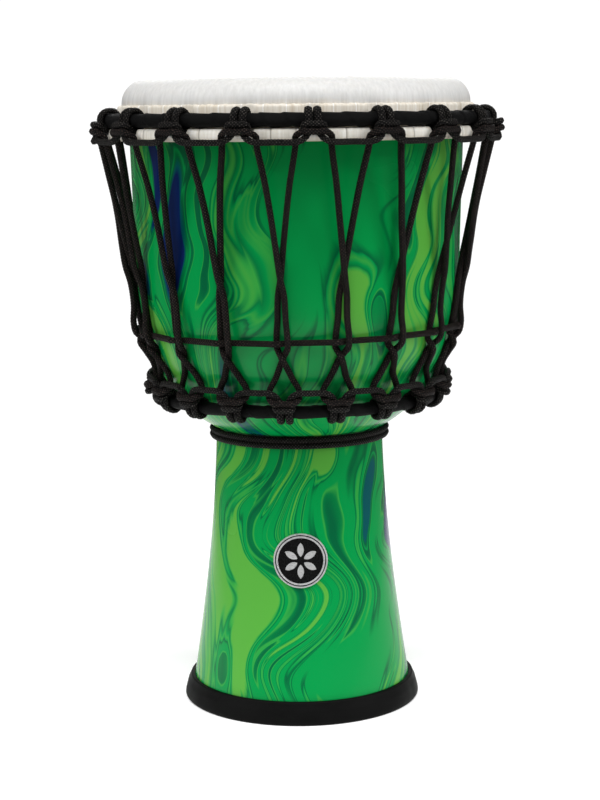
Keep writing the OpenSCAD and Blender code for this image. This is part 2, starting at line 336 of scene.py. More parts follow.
def marble_material():
    """Poured swirls: a tone drawn out along the drum, folded sideways, with thin lines between tones."""
    net = Net("shell_marble", Roughness=0.24, Specular_IOR_Level=0.12, Coat_Weight=0.06,
              Coat_Roughness=0.06)
    place = net.place_mm()
    x, y, z = net.split(place)[:3]
    angle = net.math("ARCTAN2", x, net.math("MULTIPLY", y, -1))
    # one radius for the bowl and one for the stem, whose pattern is another part of the same noise
    on_stem = net.math("LESS_THAN", z, STEM_PATTERN_TOP)
    radius = net.math("SUBTRACT", BOWL_PATTERN_R,
                      net.math("MULTIPLY", on_stem, BOWL_PATTERN_R - STEM_PATTERN_R))
    fold, shift = marble_folds(net, wall_place(net, angle, radius, z, on_stem))
    turned = net.math("ADD", angle, net.math("DIVIDE", fold, radius))
    flow = wall_place(net, turned, radius, net.math("ADD", z, shift), on_stem)
    # the patches are bent less than the bands
    near = net.math("ADD", angle, net.math("DIVIDE", fold, net.math("MULTIPLY", radius, 1.5)))
    level = net.math("ADD", z, net.math("MULTIPLY", shift, 0.3))
    tone = marble_tone(net, flow, near, level, radius)
    net.colour(net.ramp(net.stretch(tone, -0.5, 1.5), marble_stops()))
    net.rough(net.stretch(net.noise(place, 0.02, 2), 0.3, 0.7, 0.20, 0.28))
    return net.material


def wall_place(net, angle, radius, height, on_stem):
    """A place on the wall, in mm, with the stem moved well away from the bowl."""
    return net.join(net.math("MULTIPLY", net.math("SINE", angle), radius),
                    net.math("MULTIPLY", net.math("COSINE", angle), radius),
                    net.math("ADD", height, net.math("MULTIPLY", on_stem, STEM_PATTERN_SHIFT)))


def marble_folds(net, wall):
    """How far the pattern is pushed round the drum, by wide and tight folds, and how far up, in mm."""
    wide = net.noise(net.vector("MULTIPLY", wall, (1 / 90, 1 / 90, 1 / 45)), 1, 0)
    tight = net.noise(net.vector("MULTIPLY", wall, (1 / 34, 1 / 34, 1 / 27)), 1, 0)
    rise = net.noise(net.vector("MULTIPLY", wall, (1 / 22, 1 / 22, 1 / 110)), 1, 0)
    fold = net.math("ADD", net.math("MULTIPLY", net.math("SUBTRACT", wide, 0.5), 82),
                    net.math("MULTIPLY", net.math("SUBTRACT", tight, 0.5), 17))
    return fold, net.math("MULTIPLY", net.math("SUBTRACT", rise, 0.5), 56)


def marble_tone(net, flow, near, level, radius):
    """The tone of the wide bands, then of the patches, then thin lines where no patch calms them."""
    drawn = net.noise(net.vector("MULTIPLY", flow, (1 / 18, 1 / 18, 1 / 420)), 1, 2.0, 0.45)
    tone = net.stretch(drawn, 0.28, 0.74, 0.0, 1.0)
    busy = net.noise(net.vector("MULTIPLY", flow, (1 / 26, 1 / 26, 1 / 170)), 1, 0)
    busy = net.stretch(busy, 0.36, 0.56)
    for at, high, half_w, half_h, goal, pure in PATCHES:
        share = patch(net, near, level, radius, at, high, half_w, half_h, pure)
        tone = net.math("ADD", tone, net.math("MULTIPLY", net.math("SUBTRACT", goal, tone), share))
        busy = net.math("MULTIPLY", busy, net.math("SUBTRACT", 1, net.math("MULTIPLY", share, 0.9)))
    lines = net.noise(net.vector("MULTIPLY", flow, (1 / 5.5, 1 / 5.5, 1 / 520)), 1, 1.6, 0.6)
    lines = net.math("MULTIPLY", net.stretch(lines, 0.3, 0.7, -0.42, 0.42), busy)
    return net.math("ADD", tone, lines)


def patch(net, angle, height, radius, at, high, half_w, half_h, pure):
    """How much of a soft spot there is, round an angle and a height."""
    across = net.math("MULTIPLY", net.math("SUBTRACT", angle, math.radians(at)), radius)
    across = net.math("DIVIDE", across, half_w * 1.3)
    up = net.math("DIVIDE", net.math("SUBTRACT", height, high), half_h * 1.3)
    far = net.math("MULTIPLY_ADD", across, across, net.math("MULTIPLY", up, up))
    spot = net.math("MULTIPLY", net.math("EXPONENT", net.math("MULTIPLY", far, -1)), 1.7)
    return net.math("MULTIPLY", net.math("MINIMUM", spot, 1), pure)


def marble_stops():
    """The colour at each tone; the ramp runs from tone -0.5 to tone 1.5."""
    tones = [(-0.5, NAVY), (-0.16, NAVY), (-0.06, TEAL), (0.03, DEEP), (0.07, MID), (0.10, GREEN),
             (0.13, DEEP), (0.19, DEEP), (0.24, MID), (0.27, LEAF), (0.30, GREEN), (0.47, GREEN),
             (0.50, MID), (0.525, DEEP), (0.54, GREEN), (0.58, LEAF), (0.62, GREEN), (0.66, MID),
             (0.69, LEAF), (0.73, LIME), (0.94, LIME), (0.98, GREEN), (1.02, DEEP), (1.08, GREEN),
             (1.2, LEAF)]
    return [((tone + 0.5) / 2, colour) for tone, colour in tones]


def rope_material(name, highlight_colour):
    """Braided cord: over and under yarns from the braid's own coordinates, two yarns to a crossing, and
    painted highlights where the yarns cross.
    """
    net = Net(name, Roughness=0.55, Specular_IOR_Level=0.1)
    braid = net.node("ShaderNodeUVMap", uv_map="braid").outputs[0]
    u, v = net.split(braid)[:2]
    crossing = 1.0
    for lean in ("ADD", "SUBTRACT"):
        wave = net.math("SINE", net.math("MULTIPLY", net.math(lean, u, v), math.pi))
        crossing = net.math("MULTIPLY", crossing, net.math("ABSOLUTE", wave))
    fine = net.noise(net.vector("MULTIPLY", braid, (2.1, 1.3, 1)), 1, 3)
    height = net.math("ADD", crossing, net.math("MULTIPLY", fine, 0.5))
    # painted highlight: the tops of the crossings are coloured lighter, standing in for the yarns' gloss
    highlight_share = net.stretch(net.math("MULTIPLY", crossing, fine), 0.30, 0.56)
    net.colour(net.mix(highlight_share, (0.0012, 0.0011, 0.0011), highlight_colour))
    net.bump(height, 0.5 * MM, 1.0)
    return net.material


def cloth_material():
    """Black cloth strip: a fine plain weave with a little sheen."""
    net = Net("ring_cloth", Roughness=0.6, Specular_IOR_Level=0.07)
    weave = net.node("ShaderNodeUVMap", uv_map="wrap").outputs[0]
    u, v = net.split(weave)[:2]
    one = net.math("SINE", net.math("MULTIPLY", u, 2 * math.pi))
    two = net.math("SINE", net.math("MULTIPLY", v, 2 * math.pi))
    grain = net.noise(net.place_mm(), 0.6, 4)
    net.colour(net.mix(grain, (0.0018, 0.0018, 0.0018), (0.005, 0.005, 0.0052)))
    net.bump(net.math("ADD", net.math("MULTIPLY", one, two), grain), 0.12 * MM, 0.8)
    return net.material


def skin_material():
    """Fibrous synthetic skin, white above and creamier towards the ring."""
    net = Net("head_skin", Roughness=0.5, Subsurface_Weight=0.1, Subsurface_Radius=(0.002, 0.0015, 0.001))
    place = net.place_mm()
    z = net.split(place)[2]
    streak = net.noise(net.vector("MULTIPLY", place, (0.55, 0.55, 0.035)), 1, 3, 0.6)
    cloud = net.noise(net.vector("MULTIPLY", place, (0.05, 0.05, 0.03)), 1, 2)
    white = net.mix(net.stretch(streak, 0.35, 0.7), (0.635, 0.63, 0.615), (0.725, 0.72, 0.705))
    cream = net.mix(net.stretch(streak, 0.4, 0.65), (0.60, 0.53, 0.42), (0.78, 0.745, 0.68))
    uneven = net.math("MULTIPLY", net.math("SUBTRACT", cloud, 0.5), 5)
    low = net.stretch(net.math("ADD", z, uneven), 307, 302)
    net.colour(net.mix(low, white, cream))
    net.bump(streak, 0.15 * MM, 0.6)
    return net.material


def pleat_parts(net, place, offset):
    """Distance from the nearest seam, 0 to 1, and a number for each pleat."""
    x, y = net.split(place)[:2]
    angle = net.math("ARCTAN2", x, net.math("MULTIPLY", y, -1))
    turn = net.math("MULTIPLY", angle, SEAMS / (2 * math.pi))
    turn = net.math("ADD", turn, 1000 + offset)
    pleat = net.node("ShaderNodeTexWhiteNoise", noise_dimensions="1D")
    net.feed(pleat.inputs["W"], net.math("FLOOR", turn))
    gap = net.math("ABSOLUTE", net.math("SUBTRACT", net.math("FRACT", turn), 0.5))
    return net.math("SUBTRACT", 1, net.math("MULTIPLY", gap, 2)), pleat.outputs["Value"]


def skirt_material():
    """The skin's skirt, folded up round the hoop in pleats, with painted shade in the creases between them
    and on its lower edge.
    """
    net = Net("head_skirt_skin", Roughness=0.45, Subsurface_Weight=0.1,
              Subsurface_Radius=(0.002, 0.0015, 0.001))
    place = net.place_mm()
    z = net.split(place)[2]
    streak = net.noise(net.vector("MULTIPLY", place, (0.5, 0.5, 0.05)), 1, 3, 0.6)
    cream = net.mix(net.stretch(streak, 0.35, 0.7), (0.68, 0.645, 0.57), (0.88, 0.865, 0.82))
    # painted shade: the lowest 2.2 mm of the skirt, its downturned edge, is coloured darker
    cream = net.mix(net.stretch(z, SKIRT_LOW + 2.2, SKIRT_LOW), cream, (0.50, 0.44, 0.34))
    seam, pleat = pleat_parts(net, place, 0)
    cream = net.mix(net.math("MULTIPLY", pleat, 0.25), cream, (0.55, 0.50, 0.41))
    # painted shade: a dark line in the crease at each seam between pleats
    net.colour(net.mix(net.stretch(seam, 0.075, 0.03, 0, 0.6), cream, (0.14, 0.12, 0.09)))
    net.bump(streak, 0.15 * MM, 0.6)
    return net.material


def tab_material():
    """The trimmed end of the skin above the ring, in cream tabs with a painted highlight along each cut
    edge.
    """
    net = Net("head_tab", Roughness=0.6)
    place = net.place_mm()
    streak = net.noise(net.vector("MULTIPLY", place, (0.7, 0.7, 0.05)), 1, 3, 0.6)
    cream = net.mix(net.stretch(streak, 0.35, 0.68), (0.60, 0.52, 0.40), (0.80, 0.755, 0.665))
    seam, tab = pleat_parts(net, place, 0.4)
    cream = net.mix(net.math("MULTIPLY", tab, 0.4), cream, (0.78, 0.75, 0.69))
    # painted highlight: a pale line along each cut edge between tabs
    net.colour(net.mix(net.stretch(seam, 0.08, 0.03, 0, 0.8), cream, (0.92, 0.90, 0.86)))
    net.bump(net.math("ADD", streak, net.stretch(seam, 0.08, 0.02)), 0.2 * MM, 0.6)
    return net.material


def rubber_material():
    """Moulded rubber: a fine grain and a cloudy gloss."""
    net = Net("foot_rubber", Roughness=0.45, Specular_IOR_Level=0.06)
    place = net.place_mm()
    grain = net.noise(place, 1.6, 4, 0.6)
    cloud = net.noise(place, 0.08, 3)
    net.colour(net.mix(cloud, (0.002, 0.002, 0.002), (0.004, 0.004, 0.004)))
    net.rough(net.stretch(cloud, 0.3, 0.7, 0.45, 0.62))
    net.bump(grain, 0.05 * MM, 0.5)
    return net.material


def metal_material():
    """Metal with fine brush marks."""
    net = Net("badge_metal", Roughness=0.3, Metallic=1.0)
    place = net.place_mm()
    brushed = net.noise(net.vector("MULTIPLY", place, (0.4, 1, 8)), 1, 3)
    net.colour(net.mix(brushed, (0.82, 0.82, 0.83), (0.95, 0.95, 0.95)))
    net.rough(net.stretch(brushed, 0.3, 0.7, 0.25, 0.42))
    return net.material


def enamel_material():
    """Black enamel, a little uneven."""
    net = Net("badge_enamel", Roughness=0.25, Specular_IOR_Level=0.15, Coat_Weight=0.05,
              Coat_Roughness=0.08)
    place = net.place_mm()
    speck = net.noise(place, 0.9, 3)
    net.colour(net.mix(speck, (0.002, 0.002, 0.002), (0.004, 0.004, 0.0045)))
    net.rough(net.stretch(speck, 0.3, 0.7, 0.2, 0.32))
    return net.material


MARBLE = marble_material()
# the second colour of each rope is its painted highlight on the yarn crossings
LOOP_ROPE = rope_material("loop_rope", (0.085, 0.076, 0.068))
TENSION_ROPE = rope_material("tension_rope", (0.075, 0.052, 0.044))
CLOTH = cloth_material()
SKIN = skin_material()
SKIRT = skirt_material()
TAB = tab_material()
RUBBER = rubber_material()
METAL = metal_material()
ENAMEL = enamel_material()


# ---------------------------------------------------------------- shell, head and foot

def quarter(r_side, z_top, n=24):
    """The collar's curve, from its flat top down to its side."""
    turn = np.linspace(0, math.pi / 2, n)
    return [(HEAD_FLAT_R + (r_side - HEAD_FLAT_R) * math.sin(a),
             COLLAR_TOP + (z_top - COLLAR_TOP) * math.cos(a)) for a in turn]


def make_shell():
    """The goblet: a bearing edge under the head, the bowl, the flared stem and an even wall."""
    under = SKIN_FILM + 0.3
    rim = [p for p in quarter(COLLAR_R - under, DRUM_H - under) if p[0] > HEAD_FLAT_R + 4.5]
    low_in = [(r - WALL, z + d) for (r, z), d in zip(BOWL_CURVE, (1, 2, 4, 2))]
    outer = ([(77.2, 315.9), (79.1, 316.1)] + rim + [(84.9, 300), (84.2, 294), (83.7, 286)]
             + [tuple(bezier(BOWL_CURVE, t)) for t in np.linspace(0, 1, 90)]
             + [(stem_r(z), z) for z in np.linspace(NECK_Z, SHELL_LOW, 60)[1:]])
    inner = ([(stem_r(z) - WALL, z) for z in np.linspace(SHELL_LOW, NECK_Z - 2, 30)]
             + [tuple(bezier(np.array(low_in), t)) for t in np.linspace(1, 0, 50)]
             + [(BOWL_R - WALL, 290), (78.7, 303)])
    shell = lathe("shell_body", list(reversed(outer + inner)), 360)
    finish_piece(shell, "drum", ["shell"], MARBLE)


def pleats(angle):
    """A small uneven ripple round the drum, the same each run."""
    return (math.sin(31 * angle + 1) + math.sin(47 * angle + 2) + math.sin(83 * angle)
            + 0.7 * math.sin(131 * angle + 3)) / 3.7


def make_head():
    """The skin: a flat top, a rounded collar and a straight side that ripples a little."""
    inside_r, inside_h = COLLAR_R - SKIN_FILM, DRUM_H - SKIN_FILM
    outer = [(r, DRUM_H) for r in (0, 30, 60)] + quarter(COLLAR_R, DRUM_H)
    outer += [(COLLAR_R, z) for z in (303, 300, 296, 292, COLLAR_LOW)]
    inner = [(inside_r, z) for z in (COLLAR_LOW, 292, 298)]
    inner += quarter(inside_r, inside_h)[::-1] + [(40, inside_h), (0, inside_h)]

    def ripple(angle, r, z):
        low = np.clip((314 - z) / 10, 0, 1)
        return r - (0.12 + 0.12 * pleats(angle)) * low * (r > 60), z

    head = disc_lathe("head_skin", outer + inner, 540, ripple)
    finish_piece(head, "head", ["head_film"], SKIN)


def hitch_offset(angle, ring_first):
    """Distance in degrees from the nearest hitch."""
    return (math.degrees(angle) - ring_first + PITCH / 2) % PITCH - PITCH / 2


def make_tab_band():
    """The skin's trimmed end round the collar, pressed flat behind each hitch."""
    edge = [(0.1, 294.2), (1.8, 294.2), (2.1, 299), (2.2, 303.6), (2.0, 304.4), (1.4, 305),
            (0.6, 305.2), (0.1, 305.2)]
    profile = [(COLLAR_R + out, z) for out, z in edge]

    def trimmed(angle, r, z):
        near = abs(hitch_offset(angle, FIRST_HITCH)) * math.pi / 180 * COLLAR_R
        press = 1 - min(max((near - 3.6) / 1.2, 0), 1)
        thick = r - COLLAR_R - 0.1
        r = COLLAR_R + 0.1 + thick * (1 - 0.8 * press) * (0.93 + 0.07 * pleats(angle * 2))
        top = np.clip((z - 302) / 3, 0, 1)
        return r, z - top * (0.35 + 0.35 * pleats(angle * 1.7 + 1))

    band = lathe("head_trimmed_edge", list(reversed(profile)), 720, trimmed)
    finish_piece(band, "head", ["head_tab_band"], TAB)


def make_skirt():
    """The skin's skirt, folded round the flesh hoop and held down by each hitch."""
    low, top = SKIRT_LOW, SKIRT_TOP
    profile = [(COLLAR_R + 0.1, low + 0.6), (COLLAR_R + 0.8, low), (92, low), (95, low),
               (95.8, low + 0.3), (96.3, low + 1.1), (96.5, low + 2.4), (96.4, 291.6), (96.1, 292.8),
               (95.6, top - 0.2), (94.6, top), (91, top), (COLLAR_R + 0.1, top)]

    def folded(angle, r, z):
        near = abs(hitch_offset(angle, FIRST_HITCH)) * math.pi / 180 * 96
        press = 1 - min(max((near - 5.4) / 0.9, 0), 1)
        z = np.where(z > 290.7, 290.7 + (z - 290.7) * (1 - press), z)
        seam = abs((angle * SEAMS / (2 * math.pi)) % 1 - 0.5) * 2
        dent = max(0, seam - 0.9) / 0.1
        return r - 0.45 * dent * (r > 94) - 0.08 * (1 + pleats(angle)) * (r > 94), z

    skirt = lathe("head_folded_skirt", list(reversed(profile)), 1152, folded)
    finish_piece(skirt, "head", ["head_skirt"], SKIRT)


def make_foot():
    """A rubber channel that the shell's lower edge stands in, with a sharp upper lip."""
    lip = FOOT_H
    profile = [(50.6, 0.9), (50.9, 0.3), (51.6, 0), (55, 0), (59.6, 0)]
    profile += [(FOOT_R - 1.2 + 1.2 * math.sin(a), 1.4 - 1.4 * math.cos(a))
                for a in np.linspace(0, math.pi / 2, 8)]
    profile += [(FOOT_R - 0.15, 2.6), (FOOT_R - 0.5, 4), (FOOT_R - 1.05, 6), (FOOT_R - 1.6, 8)]
    profile += [(stem_r(lip) + 1.5 + 0.8 * math.cos(a), lip - 0.8 + 0.8 * math.sin(a))
                for a in np.linspace(0, math.pi / 2, 6)]
    profile += [(stem_r(lip) + 0.5, lip - 0.15)]
    profile += [(stem_r(z) + TOUCH, z - TOUCH) for z in (lip, 9, 6, SHELL_LOW)]
    profile += [(stem_r(z) - WALL - TOUCH, z - TOUCH) for z in (SHELL_LOW, 6.5, 10)]
    profile += [(51.4, 9.6), (51, 9)]
    foot = lathe("foot_bumper", list(reversed(profile)), 288)
    finish_piece(foot, "drum", ["foot_ring"], RUBBER)


def make_wrapped_ring(name, body, node, radius, height, bar, strips):
    """A cloth strip wound round the bar: each turn laps over the last with a small step."""
    steps, sides = 1080, 28
    lap_depth = 0.5
    a = np.arange(steps)[:, None] * 2 * math.pi / steps
    f = np.arange(sides)[None, :] * 2 * math.pi / sides
    wander = 0.16 * np.sin(5 * a + 1) + 0.1 * np.sin(11 * a + 2)
    turn = (a / (2 * math.pi) * strips + f / (2 * math.pi) + wander) % 1
    lap = np.clip((turn - 0.9) / 0.1, 0, 1)
    wrinkle = 0.025 * np.sin(9 * f + 40 * a) * np.sin(17 * a)
    tube = bar - lap_depth * turn * (1 - lap) - 0.04 + wrinkle
    tube = np.minimum(tube, bar)
    r = radius + tube * np.cos(f)
    verts = np.stack([r * np.sin(a), -r * np.cos(a), height + tube * np.sin(f)], 2).reshape(-1, 3)
    ring = new_object(name, verts, grid_faces(steps, sides))
    add_uv(ring, "wrap", steps, sides, 2 * math.pi * radius / 0.8, 2 * math.pi * bar / 0.8)
    finish_piece(ring, body, [node], CLOTH)


def add_uv(obj, name, rows, columns, row_span, column_span):
    """Corner coordinates along the rows and round the columns of a grid; end faces get none."""
    uv = obj.data.uv_layers.new(name=name)
    i, j = np.meshgrid(np.arange(rows), np.arange(columns), indexing="ij")
    i, j = i.ravel(), j.ravel()
    v = np.stack([i, i, i + 1, i + 1], 1) / rows * row_span
    u = np.stack([j, j + 1, j + 1, j], 1) / columns * column_span
    flat = np.zeros(len(uv.data) * 2, np.float32)
    flat[:rows * columns * 8] = np.stack([u, v], 2).ravel()
    uv.data.foreach_set("uv", flat)


# ---------------------------------------------------------------- ropes

# A station of a route is [angle, radius, height, tilt of the rope's outer side, thickness, width].
# The routes follow those of the CAD source. s is a distance in mm along the ring from hitch k, f an
# angle round the ring's bar, e is -1 or 1 for the two halves of a hitch or the two strands of a pair.

def by_ring(ring, k, s, out, up, tilt=0, thick=1.0, wide=1.0):
    """A station beside a ring: out from its middle circle, and up on the ropes' side of it."""
    angle = ring["first"] + PITCH * k + math.degrees(s / (ring["r"] + out))
    return [angle, ring["r"] + out, ring["z"] + ring["side"] * up, tilt, thick, wide]


def on_bar(ring, k, s, f):
    """A station lying on a ring's bar, pressed flatter behind it."""
    behind = 130 < f < 265
    thick = ring["press"] if behind else 0.85
    reach = ring["bar"] + TOUCH + ROPE_R * thick
    angle = ring["first"] + PITCH * k + math.degrees(s / ring["r"])
    return [angle, ring["r"] + reach * math.cos(math.radians(f)),
            ring["z"] - ring["side"] * reach * math.sin(math.radians(f)), -ring["side"] * f, thick, 1.15]


# side is the side of the ring that the ropes leave on, press how flat they are behind it, and spread
# the width of a hitch
CROWN = {"first": FIRST_HITCH, "r": CROWN_R, "z": CROWN_Z, "bar": CROWN_BAR,
         "side": -1, "press": 0.8, "spread": 1.0}
LOWER = {"first": FIRST_HITCH - PITCH / 2, "r": LOWER_R, "z": LOWER_Z, "bar": LOWER_BAR,
         "side": 1, "press": 0.6, "spread": 0.87}


def half_hitch(ring, k, e):
    """From the loop beside a hitch, past the ring's front, over its far side, behind it and out."""
    w = ring["spread"]
    up = 90 * ring["side"]
    return ([by_ring(ring, k, e * 9 * w, 7.1, 10.05),
             by_ring(ring, k, e * 6.3 * w, 7.2, 9.45),
             by_ring(ring, k, e * 3.8 * w, 6.6, 7.75),
             by_ring(ring, k, e * 2.2, 5.4, 5.05)]
            + [on_bar(ring, k, e * 2.05, f) for f in range(-15, 256, 30)]
            + [by_ring(ring, k, e * 3.1 * w, 1.1, 5.1, up),
               by_ring(ring, k, e * 4.3 * w, 4.2, 4.3, up * 0.45),
               by_ring(ring, k, e * 4.6 * w, 6.4, 2.5),
               by_ring(ring, k, e * 3.2 * w, 7.9, 2.0, 0, 0.9, 1.0)])


def loop_route(ring):
    """The rope that is hitched to a ring and hangs in a loop from each hitch to the next."""
    route = []
    for k in range(LOOPS):
        loop_angle = ring["first"] + PITCH * (k - 0.5)
        route.append([loop_angle, ring["r"] + 7.1, ring["z"] + ring["side"] * 10.05, 0, 1, 1])
        route += half_hitch(ring, k, -1) + half_hitch(ring, k, 1)[::-1]
    return route


def cradle(ring, k, e):
    """Half of the lacing's turn through a loop, in front of a hitch."""
    w = ring["spread"]
    return [by_ring(ring, k, e * 8.2 * w, 3.9, 10.85),
            by_ring(ring, k, e * 8.3 * w, 4.7, 7.75),
            by_ring(ring, k, e * 6.7 * w, 7, 6.05),
            by_ring(ring, k, e * 4.7 * w, 8.2, 5.05),
            by_ring(ring, k, e * 2, 8.5, 5.25)]


# height, half spread in degrees, lift of the first and the second strand of a pair
STRAND = [(268, 3.4, 0, 0), (250, 1.95, 0.8, 0), (235, 0.8, 2.4, 0), (225, 0, 3.2, 0),
          (216, -1.06, 1.8, 0), (205, -1.4, 1.8, 0), (196.5, -1.9, 3.6, 0), (191.5, -1.9, 3.6, 0),
          (188.8, -1, 1.8, 1.8), (186, 0, 0, 3), (181.5, 1.4, 0, 1.5), (176, 3.1, 0, 0.2)]
LIE = ROPE_R + TOUCH + 0.1
TANGENT_Z = 222


def strand_r(z):
    """Radius of a strand's middle: straight from the crown ring, then lying on the bowl."""
    top_r, top_z = CROWN_R + 3.9, CROWN_Z - 10.85
    if z > TANGENT_Z:
        return lerp(bowl_r(TANGENT_Z) + LIE, top_r, (z - TANGENT_Z) / (top_z - TANGENT_Z))
    return bowl_r(z) + LIE


def strand_route(k, e):
    return [[FIRST_HITCH + PITCH * (k + 0.5) + e * spread, strand_r(z) + (first if e < 0 else second),
             z, 0, 1, 1] for z, spread, first, second in STRAND]


def tension_route():
    """The lacing: up and down between the rings, through a cradle at each end."""
    route = []
    for k in range(LOOPS):
        route += (cradle(CROWN, k, -1) + cradle(CROWN, k, 1)[::-1] + strand_route(k, -1)
                  + cradle(LOWER, k + 1, -1) + cradle(LOWER, k + 1, 1)[::-1]
                  + strand_route(k, 1)[::-1])
    return route


def weave_route():
    """The row woven over one strand of each pair and under the other, leaning a little."""
    route = []
    for k in range(LOOPS):
        for at, lift in ((-10, 0.6), (-4.2, 2.2), (-1.9, 3.6), (1.9, 0), (4.2, 0)):
            angle = FIRST_HITCH + PITCH * (k + 0.5) + at
            lean = 1.2 * math.sin(math.radians(angle))
            route.append([angle, strand_r(WEAVE_LEVEL) + lift, WEAVE_Z + lean, 0, 1, 1])
    return route


def neck_route():
    """Two turns side by side; each ends in the next one at the back."""
    turns, stations, climb_over = 2, 24, 3
    rise = 3.0
    route = []
    for i in range(turns * stations):
        angle = 180 + 360 * i / stations
        climb = min(max((i % stations - stations + climb_over) / climb_over, 0), 1)
        turn = climb if i < stations else 1 - climb * climb
        route.append([angle, NECK_ROPE_R - ROPE_R, NECK_ROPE_LOW + ROPE_R + rise * turn, 0, 1, 1])
    return route


def smooth_route(route, step):
    """Places, outward directions and sizes every step along a smooth closed curve through the stations."""
    q = np.array(route, float)
    a, t = np.radians(q[:, 0]), np.radians(q[:, 3])
    place = np.stack([q[:, 1] * np.sin(a), -q[:, 1] * np.cos(a), q[:, 2]], 1)
    out = np.stack([np.cos(t) * np.sin(a), -np.cos(t) * np.cos(a), np.sin(t)], 1)
    data = np.concatenate([place, out, q[:, 4:6]], 1)
    before, after, far = np.roll(data, 1, 0), np.roll(data, -1, 0), np.roll(data, -2, 0)
    knot = np.sqrt(np.linalg.norm(place - np.roll(place, -1, 0), axis=1))     # centripetal
    k0, k1, k2 = np.roll(knot, 1)[:, None], knot[:, None], np.roll(knot, -1)[:, None]
    leave = ((data - before) / k0 - (after - before) / (k0 + k1) + (after - data) / k1) * k1
    arrive = ((after - data) / k1 - (far - data) / (k1 + k2) + (far - after) / k2) * k1
    fine = 24
    u = (np.arange(fine) / fine)[None, :, None]
    d, e = data[:, None, :], after[:, None, :]
    m0, m1 = leave[:, None, :], arrive[:, None, :]
    curve = ((2 * u ** 3 - 3 * u ** 2 + 1) * d + (u ** 3 - 2 * u ** 2 + u) * m0
             + (-2 * u ** 3 + 3 * u ** 2) * e + (u ** 3 - u ** 2) * m1).reshape(-1, data.shape[1])
    closed = np.vstack([curve, curve[:1]])
    along = np.concatenate([[0], np.cumsum(np.linalg.norm(np.diff(closed[:, :3], axis=0), axis=1))])
    count = int(round(along[-1] / step / 2)) * 2
    at = np.arange(count) * along[-1] / count
    return np.stack([np.interp(at, along, closed[:, c]) for c in range(closed.shape[1])], 1)


BRAID_STEP = 0.75               # half of a braid crossing along the rope
BRAID_SIDES = 12                # two for each crossing round the rope
BRAID_SCALE = 1.2               # a braid's crossings stand out from the CAD rope


def braid_surface(line, closed):
    """Points round a rope's line: the crossings stand out and the gaps between them sink in."""
    place, out = line[:, :3], line[:, 3:6]
    along = np.roll(place, -1, 0) - np.roll(place, 1, 0)
    if not closed:
        along[0], along[-1] = place[1] - place[0], place[-1] - place[-2]
    along /= np.linalg.norm(along, axis=1)[:, None]
    side = np.cross(along, out)
    side /= np.linalg.norm(side, axis=1)[:, None]
    out = np.cross(side, along)
    turn = np.arange(BRAID_SIDES)
    a = (turn * 2 * math.pi / BRAID_SIDES)[None, :, None]
    crossing = (np.cos(turn * math.pi)[None, :] + np.cos(np.arange(len(place)) * math.pi)[:, None]) / 2
    radius = (ROPE_R * BRAID_SCALE * (0.91 + 0.09 * crossing))[:, :, None]
    round_it = (line[:, 6][:, None, None] * np.cos(a) * out[:, None, :]
                + line[:, 7][:, None, None] * np.sin(a) * side[:, None, :])
    return (place[:, None, :] + radius * round_it).reshape(-1, 3)


def braided_rope(name, route, material, nodes, body):
    """A closed rope of braided cord along its route's stations."""
    line = smooth_route(route, BRAID_STEP)
    rings = len(line)
    rope = new_object(name, braid_surface(line, True), grid_faces(rings, BRAID_SIDES))
    add_uv(rope, "braid", rings, BRAID_SIDES, rings / 2, BRAID_SIDES / 2)
    return finish_piece(rope, body, nodes, material)


def knot_line(core):
    """Three turns round an axis and an end hanging from each side: across, out and up from the knot."""
    turn, end = core + ROPE_R, 2.9 * ROPE_R
    t = np.linspace(0.04, 2.96, 90)
    a = -math.pi / 2 + 2 * math.pi * t
    coil = np.stack([lerp(-2 * ROPE_R, 2 * ROPE_R, t / 3), turn * np.cos(a), turn * np.sin(a)], 1)
    drop = np.linspace(turn + 10, turn + 1.2, 14)
    hang = np.stack([np.full(14, -end), np.ones(14), -drop], 1)
    return np.concatenate([hang, coil, hang[::-1] * (-1, 1, 1)])


def even_soft_line(line):
    """The same line in even steps, with its corners softened by averaging five neighbours."""
    steps = np.concatenate([[0], np.cumsum(np.linalg.norm(np.diff(line, axis=0), axis=1))])
    at = np.arange(0, steps[-1], BRAID_STEP)
    line = np.stack([np.interp(at, steps, line[:, c]) for c in range(3)], 1)
    soft = np.pad(line, ((2, 2), (0, 0)), "edge")
    return sum(soft[i:i + len(line)] for i in range(5)) / 5


def barrel_knot(name, node, body, angle, radius, height, core, material):
    """The knot that closes a rope, tied at the back of the drum."""
    line = even_soft_line(knot_line(core))
    a = math.radians(angle)
    outward = np.array([math.sin(a), -math.cos(a), 0])
    across = np.array([math.cos(a), math.sin(a), 0])
    up = np.array([0, 0, 1])
    off_axis = line[:, 1:2] * outward + line[:, 2:] * up
    place = radius * outward + height * up + line[:, :1] * across + off_axis
    facing = off_axis + 0.01 * outward
    size = np.ones((len(line), 2))
    size[0] = size[-1] = 0.6
    rings = len(line)
    last = (rings - 1) * BRAID_SIDES
    ends = [tuple(reversed(range(BRAID_SIDES))), tuple(range(last, last + BRAID_SIDES))]
    knot = new_object(name, braid_surface(np.concatenate([place, facing, size], 1), False),
                      grid_faces(rings, BRAID_SIDES, False) + ends)
    add_uv(knot, "braid", rings - 1, BRAID_SIDES, rings / 2, BRAID_SIDES / 2)
    finish_piece(knot, body, [node], material)


